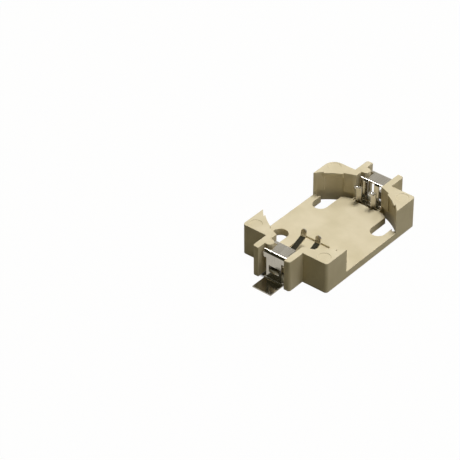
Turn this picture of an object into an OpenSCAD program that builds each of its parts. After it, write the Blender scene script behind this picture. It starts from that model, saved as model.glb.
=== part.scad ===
// Surface-mount coin cell holder: an open moulded frame that takes a 20 mm cell from above,
// with a spring contact folded from strip fixed in the channel at each end.
// Z is up from the board, X runs along the holder, the positive contact is at the +X end.

/* [Moulded body] */
// Length of the rectangular frame
body_length = 22; // [21.8:0.1:22.4]
// Width of the frame across the holder
body_width = 16; // [15.8:0.1:16.4]
// Height of the moulding, underside to the tops of the walls
body_height = 5.4; // [5.2:0.1:5.8]
// Gap between the board and the underside of the moulding
standoff = 0.3; // [0.2:0.05:0.4]
// Thickness of the floor slab
floor_thickness = 1.25; // [1.15:0.05:1.35]
// Diameter of the round pocket
pocket_diameter = 20.2; // [20.1:0.1:20.4]
// Overall length across the two pairs of end arms
arm_span = 28.3; // [27.9:0.1:28.5]
// Outer width across a pair of end arms
arm_width = 7; // [6.8:0.1:7.4]
// Clear width of the channel that runs through the arms
channel_width = 4.84; // [4.7:0.02:4.9]
// Width of the four floor slots and of the lips above them
slot_width = 2.52; // [2.3:0.02:2.6]
// Depth of the seats for the contacts in the floor
seat_depth = 0.3; // [0.2:0.05:0.4]

/* [Contacts] */
// Thickness of the spring strip
strip = 0.2; // [0.15:0.05:0.25]
// Overall length across the tips of the two solder feet
feet_span = 32.7; // [32:0.1:33.5]
// Width of a solder foot
foot_width = 3.5; // [3:0.1:3.8]
// Width of the upright end plate of a contact
plate_width = 2.8; // [2.5:0.1:3]
// Width of the top plate of a contact
top_width = 4.3; // [4.2:0.02:4.4]
// Height of the top plate above the board
top_height = 5.15; // [5:0.05:5.3]
// Width of one spring finger
finger_width = 0.95; // [0.8:0.05:1]
// Height of the positive fingers above the board
positive_height = 4.65; // [4.3:0.05:4.9]
// Slope of the two low negative fingers, in degrees
negative_slope = 23.7; // [21:0.1:25]

/* [Hidden] */
$fn = 48;
floor_top = standoff + floor_thickness;
body_top = standoff + body_height;
seat_z = floor_top - seat_depth;
pocket_r = pocket_diameter / 2;
lip_r = pocket_r - 0.28;
relief_r = pocket_r + 0.2;
slot_y = 5.56;
slot_tip_x = 3.7;
floor_end_x = 11;
plate_x = 13.47;
lug_x = 11.9;
lug_r = 0.7;
lug_front_y = 1.35;
mid = strip / 2;
bend_r = 0.3;
shoulder_z = standoff + 3.7;
leg_x = 10.5;
finger_x = 9.3;
finger_y = 1.38;
hook_tip_x = 8.3;
base_mid_x = (leg_x + finger_x) / 2;
base_top_z = seat_z + 0.35;
top_edge_x = 10.55;
seat_x = 10.9;
root_x = 7.9;
web_x = 10;
finger_run = 3.24;
head_bend = 55;
head_length = 1.32;

// --- 2D helpers ---------------------------------------------------------------------------

module rounded_rect(length, width, r) {
    square([length - 2 * r, width], center = true);
    square([length, width - 2 * r], center = true);
    for (x = [-1, 1], y = [-1, 1])
        translate([x * (length / 2 - r), y * (width / 2 - r)])
            circle(r);
}

// Sector of a ring from angle a0 to a1, less than half a turn.
module ring_sector(r_in, r_out, a0, a1) {
    reach = 3 * r_out;
    middle = (a0 + a1) / 2;
    intersection() {
        difference() {
            circle(r_out);
            circle(r_in);
        }
        polygon([
            [0, 0],
            reach * [cos(a0), sin(a0)],
            reach * [cos(middle), sin(middle)],
            reach * [cos(a1), sin(a1)]
        ]);
    }
}

// Strip folded in right angles: each step is [straight length, bend angle, inside radius].
module fold(steps, i = 0) {
    run = steps[i][0];
    bend = steps[i][1];
    r_mid = steps[i][2] + mid;
    side = bend < 0 ? -1 : 1;
    translate([0, -mid])
        square([run, strip]);
    if (bend != 0)
        translate([run, side * r_mid])
            mirror([0, side < 0 ? 1 : 0])
                ring_sector(r_mid - mid, r_mid + mid, -90, abs(bend) - 90);
    if (i < len(steps) - 1)
        translate([run + r_mid * sin(abs(bend)), side * r_mid * (1 - cos(bend))])
            rotate(bend)
                fold(steps, i + 1);
}

// Points [x, y, heading] along the middle of a strip that bends by any angle, in short chords.
function stations(steps, x = 0, y = 0, a = 0, i = 0) =
    let (
        bend = steps[i][1],
        r = steps[i][2] + mid,
        side = bend < 0 ? -1 : 1,
        cx = x + steps[i][0] * cos(a) - side * r * sin(a),
        cy = y + steps[i][0] * sin(a) + side * r * cos(a),
        n = ceil(abs(bend) / 9),
        turn = [
            for (k = [0 : n])
                let (h = a + bend * k / max(n, 1))
                [cx + side * r * sin(h), cy - side * r * cos(h), h]
        ]
    )
    concat(
        i == 0 ? [[x, y, a]] : [],
        turn,
        i < len(steps) - 1 ? stations(steps, turn[n][0], turn[n][1], a + bend, i + 1) : []
    );

module bent_strip(steps) {
    s = stations(steps);
    n = len(s);
    polygon([
        for (k = [0 : 2 * n - 1])
            let (at = s[k < n ? k : 2 * n - 1 - k], side = k < n ? mid : -mid)
            [at[0] - side * sin(at[2]), at[1] + side * cos(at[2])]
    ]);
}

// Stands a profile drawn in X and Z up on edge, centred on Y.
module across(width) {
    translate([0, width / 2, 0])
        rotate([90, 0, 0])
            linear_extrude(width)
                children();
}

module box(lo, hi) {
    translate(lo)
        cube(hi - lo);
}

module four_corners() {
    for (x = [0, 1], y = [0, 1])
        mirror([x, 0, 0])
            mirror([0, y, 0])
                children();
}

// --- Moulded body -------------------------------------------------------------------------

module frame_outline() {
    rounded_rect(body_length, body_width, 0.5);
    rounded_rect(arm_span, arm_width, 0.4);
}

// Through slot in the floor, its outer end following the wall under the lip.
module slot_outline() {
    r = slot_width / 2;
    intersection() {
        circle(relief_r);
        union() {
            translate([slot_tip_x + r, slot_y])
                circle(r);
            translate([slot_tip_x + r, slot_y - r])
                square([8, slot_width]);
        }
    }
}

// Lip that holds the cell down, its underside sloping back to the wall.
module lip() {
    low = body_top - 1.1;
    intersection() {
        rotate_extrude(angle = 60)
            polygon([
                [lip_r, body_top],
                [lip_r, body_top - 0.5],
                [relief_r, low],
                [relief_r + 0.4, low],
                [relief_r + 0.4, body_top]
            ]);
        box([5, slot_y - slot_width / 2, low], [11, slot_y + slot_width / 2, body_top]);
    }
}

// Post on the channel wall that the notch of the top plate fits round.
module lug() {
    translate([lug_x, lug_front_y + lug_r, floor_top])
        cylinder(h = body_height - floor_thickness, r = lug_r);
    box([lug_x - lug_r, lug_front_y + lug_r, floor_top],
        [lug_x + lug_r, channel_width / 2 + 0.3, body_top]);
}

module holder_body() {
    half = channel_width / 2;
    color([0.80, 0.72, 0.58])
    union() {
        difference() {
            translate([0, 0, standoff])
                linear_extrude(body_height)
                    frame_outline();
            translate([0, 0, floor_top])
                cylinder(h = 10, r = pocket_r);
            box([-20, -half, floor_top], [20, half, 10]);
            box([-20, -half, -1], [-floor_end_x, half, 10]);
            box([floor_end_x, -half, -1], [20, half, 10]);
            box([-20, -half, seat_z], [-2.9, half, 10]);
            box([9, -half, seat_z], [20, half, 10]);
            four_corners() {
                translate([0, 0, -1])
                    linear_extrude(12)
                        slot_outline();
                translate([0, 0, -1])
                    linear_extrude(1 + standoff + 1.9)
                        ring_sector(9.6, relief_r, 16, 49);
                translate([9.7, 6.5, body_top - 0.1])
                    cylinder(h = 1, r = 1);
            }
        }
        four_corners()
            lip();
        for (side = [0, 1])
            mirror([side, 0, 0])
                lug();
    }
}

// --- Spring contacts ----------------------------------------------------------------------

// Foot, end plate and top plate in one strip, then whatever the tail folds on.
module strip_profile(top_run, tail) {
    translate([feet_span / 2, mid])
        mirror([1, 0])
            fold(concat(
                [
                    [feet_span / 2 - plate_x - bend_r, 90, bend_r],
                    [top_height - 2 * strip - 2 * bend_r, -90, bend_r]
                ],
                [top_run],
                tail
            ));
}

// Cuts the end plate to its two widths, opens its window and notches the top plate.
module end_cuts() {
    for (side = [0, 1])
        mirror([0, side, 0]) {
            box([12, foot_width / 2, -1], [20, 5, shoulder_z]);
            box([12, plate_width / 2, strip + bend_r], [20, 5, shoulder_z]);
        }
    box([12.9, -0.95, standoff + 1.3], [20, 0.95, standoff + 2.5]);
    box([lug_x - 0.8, lug_front_y - 0.2, top_height - 1], [lug_x + 0.9, 5, top_height + 1]);
}

// Cuts round the end of a finger that lies flat along X, its tip at the origin.
module round_tip() {
    r = finger_width / 2 + 0.025;
    difference() {
        box([-0.5, -r, -0.3], [r, r, 0.3]);
        translate([r, 0, -1])
            cylinder(h = 2, r = r);
    }
}

module positive_contact() {
    foot_r = bend_r + mid;
    hook_r = 0.2 + mid;
    base_r = seat_z + mid + foot_r;
    hook_z = positive_height - mid;
    color([0.72, 0.73, 0.74])
    difference() {
        across(top_width)
            strip_profile(
                [plate_x - mid - foot_r - leg_x - hook_r, -90, 0.2],
                [
                    [top_height - mid - hook_r - base_r, 90, bend_r],
                    [leg_x - finger_x - 2 * foot_r, 90, bend_r],
                    [hook_z - hook_r - base_r, -90, 0.2],
                    [finger_x - hook_r - hook_tip_x, 0, 0]
                ]
            );
        end_cuts();
        box([base_mid_x, -0.6, base_top_z], [leg_x + 0.15, 0.6, 10]);
        box([0, -finger_y + finger_width / 2, base_top_z],
            [base_mid_x, finger_y - finger_width / 2, 10]);
        for (side = [0, 1])
            mirror([0, side, 0]) {
                box([base_mid_x, 1.5, base_top_z], [leg_x + 0.15, 5, 10]);
                box([0, finger_y + finger_width / 2, base_top_z], [base_mid_x, 5, 10]);
                translate([hook_tip_x, finger_y, hook_z])
                    round_tip();
                translate([hook_tip_x + finger_width / 2, finger_y, hook_z + mid + 0.3])
                    sphere(r = 0.4);
            }
    }
}

// Two low fingers that rise along the floor and turn up at their ends.
module low_fingers() {
    rise = finger_run / cos(negative_slope);
    r1 = 0.5 + mid;
    r2 = bend_r + mid;
    t1 = r1 * tan(negative_slope / 2);
    t2 = r2 * tan(head_bend / 2);
    difference() {
        across(2 * finger_y + finger_width)
            translate([seat_x, seat_z + mid])
                mirror([1, 0])
                    bent_strip([
                        [seat_x - root_x - t1, negative_slope, 0.5],
                        [rise - t1 - t2, head_bend, bend_r],
                        [head_length - t2, 0, 0]
                    ]);
        box([0, -finger_y + finger_width / 2, -1], [root_x - 0.1, finger_y - finger_width / 2, 10]);
        for (side = [-1, 1])
            translate([root_x - finger_run, side * finger_y, seat_z + mid + rise * sin(negative_slope)])
                rotate([0, negative_slope + head_bend, 0])
                    translate([-head_length, 0, 0])
                        round_tip();
    }
}

// Web folded down the -Y wall that joins the top plate to the base of the low fingers.
module side_web() {
    y_mid = top_width / 2 - mid;
    r = 0.2 + mid;
    difference() {
        translate([web_x, 0, 0])
            mirror([0, 1, 0])
                rotate([90, 0, 90])
                    linear_extrude(12.4 - web_x)
                        translate([1, top_height - mid])
                            fold([
                                [y_mid - r - 1, -90, 0.2],
                                [top_height - strip - seat_z - 2 * r, -90, 0.2],
                                [y_mid - r - 1, 0, 0]
                            ]);
        box([0, -5, top_height - 0.6], [top_edge_x, 5, 10]);
        box([seat_x, -5, -1], [20, 5, seat_z + 0.6]);
    }
}

module negative_contact() {
    color([0.72, 0.73, 0.74])
    mirror([1, 0, 0])
    union() {
        difference() {
            across(top_width)
                strip_profile([plate_x - strip - bend_r - top_edge_x, 0, 0], []);
            end_cuts();
            box([0, -5, top_height - 0.6], [12.4, -top_width / 2 + strip + 0.2, 10]);
        }
        side_web();
        low_fingers();
    }
}

holder_body();
positive_contact();
negative_contact();
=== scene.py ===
import math

import bmesh
import bpy
from mathutils import Matrix, Vector


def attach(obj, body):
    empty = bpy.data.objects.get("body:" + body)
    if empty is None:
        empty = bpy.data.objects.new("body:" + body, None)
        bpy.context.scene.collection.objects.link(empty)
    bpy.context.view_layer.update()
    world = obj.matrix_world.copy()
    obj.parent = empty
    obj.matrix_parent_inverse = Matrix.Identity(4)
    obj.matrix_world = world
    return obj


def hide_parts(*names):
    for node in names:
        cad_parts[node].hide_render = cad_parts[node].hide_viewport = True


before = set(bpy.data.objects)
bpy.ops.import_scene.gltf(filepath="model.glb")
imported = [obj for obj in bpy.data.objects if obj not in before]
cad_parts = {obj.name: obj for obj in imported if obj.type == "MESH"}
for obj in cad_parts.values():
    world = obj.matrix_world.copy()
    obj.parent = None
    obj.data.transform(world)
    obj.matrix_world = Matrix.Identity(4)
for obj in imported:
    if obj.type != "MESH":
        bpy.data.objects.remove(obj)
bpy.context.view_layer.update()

# The holder body is one moulding in a natural tan plastic, satin all over, with the faint
# cloudy tone that such a resin has and the fine grain of a spark-finished mould. It stands
# a hair above the board on the contacts' feet.
cloud_scale, cloud_detail, cloud_stops = 260, 4, (0.32, 0.70)
dark_tan, light_tan = (0.600, 0.520, 0.335, 1), (0.700, 0.615, 0.430, 1)
satin_from, satin_to, plastic_specular = 0.42, 0.58, 0.35
grain_scale, grain_detail, grain_strength, grain_depth = 5200, 3, 0.25, 0.00002
same_point, flat_within = 1e-6, math.radians(0.5)


def two_tone(tree, value, dark, light, stops=(0, 1)):
    """Colour that goes from dark to light as the value passes the two stops."""
    tone = tree.nodes.new("ShaderNodeValToRGB")
    for element, colour, stop in zip(tone.color_ramp.elements, (dark, light), stops):
        element.position, element.color = stop, colour
    tree.links.new(value, tone.inputs["Fac"])
    return tone.outputs["Color"]


def sheen_between(tree, value, smooth, rough):
    """Roughness that goes from smooth to rough as the value goes from 0 to 1."""
    sheen = tree.nodes.new("ShaderNodeMapRange")
    sheen.inputs["To Min"].default_value, sheen.inputs["To Max"].default_value = smooth, rough
    tree.links.new(value, sheen.inputs["Value"])
    return sheen.outputs["Result"]


def mottle(tree, place, scale, detail):
    """Noise laid in the piece's own coordinates, for a clouded, grained or streaked skin."""
    noise = tree.nodes.new("ShaderNodeTexNoise")
    noise.inputs["Scale"].default_value = scale
    noise.inputs["Detail"].default_value = detail
    tree.links.new(place, noise.inputs["Vector"])
    return noise.outputs["Fac"]


plastic = bpy.data.materials.new("tan_moulded_plastic")
plastic.use_nodes = True
tree = plastic.node_tree
surface = tree.nodes["Principled BSDF"]
surface.inputs["Specular IOR Level"].default_value = plastic_specular
place_on_body = tree.nodes.new("ShaderNodeTexCoord").outputs["Object"]
cloud = mottle(tree, place_on_body, cloud_scale, cloud_detail)
tan = two_tone(tree, cloud, dark_tan, light_tan, cloud_stops)
tree.links.new(tan, surface.inputs["Base Color"])
tree.links.new(sheen_between(tree, cloud, satin_from, satin_to), surface.inputs["Roughness"])
spark_finish = tree.nodes.new("ShaderNodeBump")
spark_finish.inputs["Strength"].default_value = grain_strength
spark_finish.inputs["Distance"].default_value = grain_depth
grain = mottle(tree, place_on_body, grain_scale, grain_detail)
tree.links.new(grain, spark_finish.inputs["Height"])
tree.links.new(spark_finish.outputs["Normal"], surface.inputs["Normal"])

shell_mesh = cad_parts["holder_body"].data.copy()
shell = bpy.data.objects.new("holder_body_shell", shell_mesh)
bpy.context.scene.collection.objects.link(shell)
edit = bmesh.new()
edit.from_mesh(shell_mesh)
bmesh.ops.remove_doubles(edit, verts=edit.verts, dist=same_point)
bmesh.ops.dissolve_limit(edit, angle_limit=flat_within, verts=edit.verts, edges=edit.edges)
edit.to_mesh(shell_mesh)
edit.free()

# The corner beside the positive contact is moulded with a larger round than the others,
# which shows the polarity: a block with a hollow round takes the plastic away there. Every
# other sharp edge gets the slight round that a mould leaves.
key_x, key_y, key_radius = 0.0092, 0.0062, 0.0018
outside_x, outside_y = 0.0114, 0.0084
under_body, over_body = -0.001, 0.008
mould_round, round_steps, sharp_from = 0.00006, 2, math.radians(35)

key_outline = [
    (key_x + key_radius * math.cos(turn), key_y + key_radius * math.sin(turn))
    for turn in map(math.radians, range(0, 91, 6))
] + [(key_x, outside_y), (outside_x, outside_y), (outside_x, key_y)]
edit = bmesh.new()
block_foot = edit.faces.new([edit.verts.new((x, y, under_body)) for x, y in key_outline])
for risen in bmesh.ops.extrude_face_region(edit, geom=[block_foot])["geom"]:
    if isinstance(risen, bmesh.types.BMVert):
        risen.co.z = over_body
bmesh.ops.recalc_face_normals(edit, faces=edit.faces)
block_mesh = bpy.data.meshes.new("corner_block")
edit.to_mesh(block_mesh)
edit.free()
block = bpy.data.objects.new("corner_block", block_mesh)
bpy.context.scene.collection.objects.link(block)

key_corner = shell.modifiers.new("key_corner", "BOOLEAN")
key_corner.operation, key_corner.solver, key_corner.object = "DIFFERENCE", "EXACT", block
mould_edges = shell.modifiers.new("mould_edges", "BEVEL")
mould_edges.width, mould_edges.segments = mould_round, round_steps
mould_edges.limit_method, mould_edges.angle_limit = "ANGLE", sharp_from
mould_edges.harden_normals = True
graph = bpy.context.evaluated_depsgraph_get()
moulded = bpy.data.meshes.new_from_object(shell.evaluated_get(graph))
shell.modifiers.clear()
shell.data = moulded
bpy.data.objects.remove(block)
shell.data.materials.clear()
shell.data.materials.append(plastic)
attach(shell, "root")
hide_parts("holder_body")

# Both contacts are stamped and folded from thin spring strip and plated bright. Faint
# rolling streaks run along the strip, brighter and duller by turns.
streak_scale, streak_detail = (300, 6000, 300), 3
dull_plating, bright_plating = (0.56, 0.53, 0.47, 1), (0.76, 0.73, 0.67, 1)
bright_from, bright_to = 0.08, 0.24

strip_metal = bpy.data.materials.new("plated_spring_strip")
strip_metal.use_nodes = True
tree = strip_metal.node_tree
surface = tree.nodes["Principled BSDF"]
surface.inputs["Metallic"].default_value = 1
along = tree.nodes.new("ShaderNodeMapping")
along.inputs["Scale"].default_value = streak_scale
place_on_strip = tree.nodes.new("ShaderNodeTexCoord").outputs["Object"]
tree.links.new(place_on_strip, along.inputs["Vector"])
streaks = mottle(tree, along.outputs["Vector"], 1, streak_detail)
tree.links.new(sheen_between(tree, streaks, bright_from, bright_to), surface.inputs["Roughness"])
plating = two_tone(tree, streaks, dull_plating, bright_plating)
tree.links.new(plating, surface.inputs["Base Color"])
for name in ("positive_contact", "negative_contact"):
    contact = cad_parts[name]
    contact.data.materials.clear()
    contact.data.materials.append(strip_metal)

# The table is a plain white sheet. It shows almost white to the eye, keeps its shadow
# under the holder and throws only a little light back on the upright walls. Under the two
# channels, which are open at the bottom, it carries painted shade: its white is turned off
# there, to the eye and in the metal's reflections, so it shows full dark. From below it is clear.
reach = 2
sheet_colour, sheet_roughness = (0.24, 0.225, 0.16, 1), 0.9
sheet_white, white_share, mirrored_white = 1.03, 0.95, (0.60, 0.58, 0.53, 1)
# Where the painted shade under the two channels lies, and how softly its edges fade.
channel_middle, painted_shade_half_sizes = 0.0118, (("X", 0.0017), ("Y", 0.0030))
shade_fades_inside, shade_fades_outside = 0.0004, 0.0002


def share_of(tree, first, second):
    """Share of a value, where the second is another value or a plain number."""
    product = tree.nodes.new("ShaderNodeMath")
    product.operation = "MULTIPLY"
    tree.links.new(first, product.inputs[0])
    if isinstance(second, bpy.types.NodeSocket):
        tree.links.new(second, product.inputs[1])
    else:
        product.inputs[1].default_value = second
    return product.outputs["Value"]


def blend(tree, share, under, over):
    """Shader that is under where the share is 0 and over where it is 1."""
    mix = tree.nodes.new("ShaderNodeMixShader")
    tree.links.new(share, mix.inputs["Fac"])
    tree.links.new(under, mix.inputs[1])
    tree.links.new(over, mix.inputs[2])
    return mix.outputs["Shader"]


table_mesh = bpy.data.meshes.new("table")
table_corners = [(-reach, -reach, 0), (reach, -reach, 0), (reach, reach, 0), (-reach, reach, 0)]
table_mesh.from_pydata(table_corners, [], [(0, 1, 2, 3)])
table = bpy.data.objects.new("table", table_mesh)
bpy.context.scene.collection.objects.link(table)
sheet = bpy.data.materials.new("white_sheet")
sheet.use_nodes = True
tree = sheet.node_tree
surface = tree.nodes["Principled BSDF"]
surface.inputs["Base Color"].default_value = sheet_colour
surface.inputs["Roughness"].default_value = sheet_roughness
surface.inputs["Specular IOR Level"].default_value = 0
white = tree.nodes.new("ShaderNodeEmission")
white.inputs["Color"].default_value = (1, 1, 1, 1)
white.inputs["Strength"].default_value = sheet_white
pale = tree.nodes.new("ShaderNodeEmission")
pale.inputs["Color"].default_value = mirrored_white

# Painted shade under the two channels: both lie at the same distance from the middle, so
# one test on the distances from it finds the two. The mask is 0 under a channel, where the
# painted shade turns the table's white off, and rises to 1 round it.
place_on_table = tree.nodes.new("ShaderNodeTexCoord").outputs["Object"]
from_middle = tree.nodes.new("ShaderNodeVectorMath")
from_middle.operation = "ABSOLUTE"
tree.links.new(place_on_table, from_middle.inputs[0])
past_channel = tree.nodes.new("ShaderNodeVectorMath")
past_channel.operation = "SUBTRACT"
past_channel.inputs[1].default_value = (channel_middle, 0, 0)
tree.links.new(from_middle.outputs["Vector"], past_channel.inputs[0])
from_channel = tree.nodes.new("ShaderNodeVectorMath")
from_channel.operation = "ABSOLUTE"
tree.links.new(past_channel.outputs["Vector"], from_channel.inputs[0])
distances = tree.nodes.new("ShaderNodeSeparateXYZ")
tree.links.new(from_channel.outputs["Vector"], distances.inputs["Vector"])
farther = tree.nodes.new("ShaderNodeMath")
farther.operation = "MAXIMUM"
for test, (axis, half_size) in enumerate(painted_shade_half_sizes):
    beyond = tree.nodes.new("ShaderNodeMapRange")
    beyond.inputs["From Min"].default_value = half_size - shade_fades_inside
    beyond.inputs["From Max"].default_value = half_size + shade_fades_outside
    tree.links.new(distances.outputs[axis], beyond.inputs["Value"])
    tree.links.new(beyond.outputs["Result"], farther.inputs[test])
outside_painted_shade = farther.outputs["Value"]

ray = tree.nodes.new("ShaderNodeLightPath")
# The painted shade: the mask turns the white off under the channels, to the eye and in
# reflections.
seen = share_of(tree, ray.outputs["Is Camera Ray"], share_of(tree, outside_painted_shade, white_share))
to_eye = blend(tree, seen, surface.outputs["BSDF"], white.outputs["Emission"])
mirrored = share_of(tree, ray.outputs["Is Glossy Ray"], outside_painted_shade)
to_metal = blend(tree, mirrored, to_eye, pale.outputs["Emission"])
below = tree.nodes.new("ShaderNodeNewGeometry").outputs["Backfacing"]
clear = tree.nodes.new("ShaderNodeBsdfTransparent").outputs["BSDF"]
one_sided = blend(tree, below, to_metal, clear)
tree.links.new(one_sided, tree.nodes["Material Output"].inputs["Surface"])
table_mesh.materials.append(sheet)

# The studio is a dim room: white behind the table to the eye, and for the light a dark
# ceiling that turns grey towards the far side, which the flat plates mirror.
towards_far_side, ceiling_stops = (0.74, 0.34, -0.28), (0.05, 0.62)
dark_ceiling, grey_side = (0.036, 0.034, 0.018, 1), (0.62, 0.60, 0.55, 1)

world = bpy.data.worlds.new("studio")
bpy.context.scene.world = world
world.use_nodes = True
tree = world.node_tree
room = tree.nodes["Background"]
room.inputs["Strength"].default_value = 1
far_side = tree.nodes.new("ShaderNodeVectorMath")
far_side.operation = "DOT_PRODUCT"
far_side.inputs[1].default_value = towards_far_side
direction = tree.nodes.new("ShaderNodeTexCoord").outputs["Generated"]
tree.links.new(direction, far_side.inputs[0])
shade = two_tone(tree, far_side.outputs["Value"], dark_ceiling, grey_side, ceiling_stops)
tree.links.new(shade, room.inputs["Color"])
backdrop = tree.nodes.new("ShaderNodeBackground")
backdrop.inputs["Color"].default_value = (1, 1, 1, 1)
looked_at = tree.nodes.new("ShaderNodeLightPath").outputs["Is Camera Ray"]
studio = blend(tree, looked_at, room.outputs["Background"], backdrop.outputs["Background"])
tree.links.new(studio, tree.nodes["World Output"].inputs["Surface"])

# One round soft lamp hangs almost overhead, a small one behind it draws the bright lines
# on the folds of the strip, and a weak wide one opens the shaded walls.
for name, where, width, power in (
    ("overhead", (0.10, -0.01, 0.50), 0.18, 2.05),
    ("rear", (0.20, 0.225, 0.40), 0.09, 0.30),
    ("fill", (0.02, -0.50, 0.28), 0.40, 0.65),
):
    lamp_data = bpy.data.lights.new(name, "AREA")
    lamp_data.shape = "DISK"
    lamp_data.size = width
    lamp_data.energy = power
    lamp = bpy.data.objects.new(name, lamp_data)
    bpy.context.scene.collection.objects.link(lamp)
    lamp.location = where
    lamp.rotation_mode = "QUATERNION"
    lamp.rotation_quaternion = Vector(where).to_track_quat("Z", "Y")

# The camera stands off the near end of the holder and looks down into the open pocket,
# with a long lens, so that the two long sides of the frame stay almost parallel.
azimuth, elevation, roll = math.radians(-49.93), math.radians(36.57), math.radians(-0.453)
lens_length, film_width, nearest, farthest = 172.565217, 36, 0.01, 10
stand_off, shift_left, shift_up, board_gap = 0.3367, 0.015123, 0.001351, 0.0003

back = Vector((
    math.sin(azimuth) * math.cos(elevation),
    -math.cos(azimuth) * math.cos(elevation),
    math.sin(elevation),
))
right = Vector((0, 0, 1)).cross(back).normalized()
above = back.cross(right)
right, above = (
    right * math.cos(roll) + above * math.sin(roll),
    above * math.cos(roll) - right * math.sin(roll),
)
place = back * stand_off - right * shift_left + above * shift_up + Vector((0, 0, board_gap))
camera_data = bpy.data.cameras.new("camera")
camera_data.lens, camera_data.sensor_width = lens_length, film_width
camera_data.clip_start, camera_data.clip_end = nearest, farthest
camera = bpy.data.objects.new("camera", camera_data)
bpy.context.scene.collection.objects.link(camera)
camera.matrix_world = Matrix((
    (right.x, above.x, back.x, place.x),
    (right.y, above.y, back.y, place.y),
    (right.z, above.z, back.z, place.z),
    (0, 0, 0, 1),
))
bpy.context.scene.camera = camera

bpy.context.scene.view_settings.view_transform = "Standard"
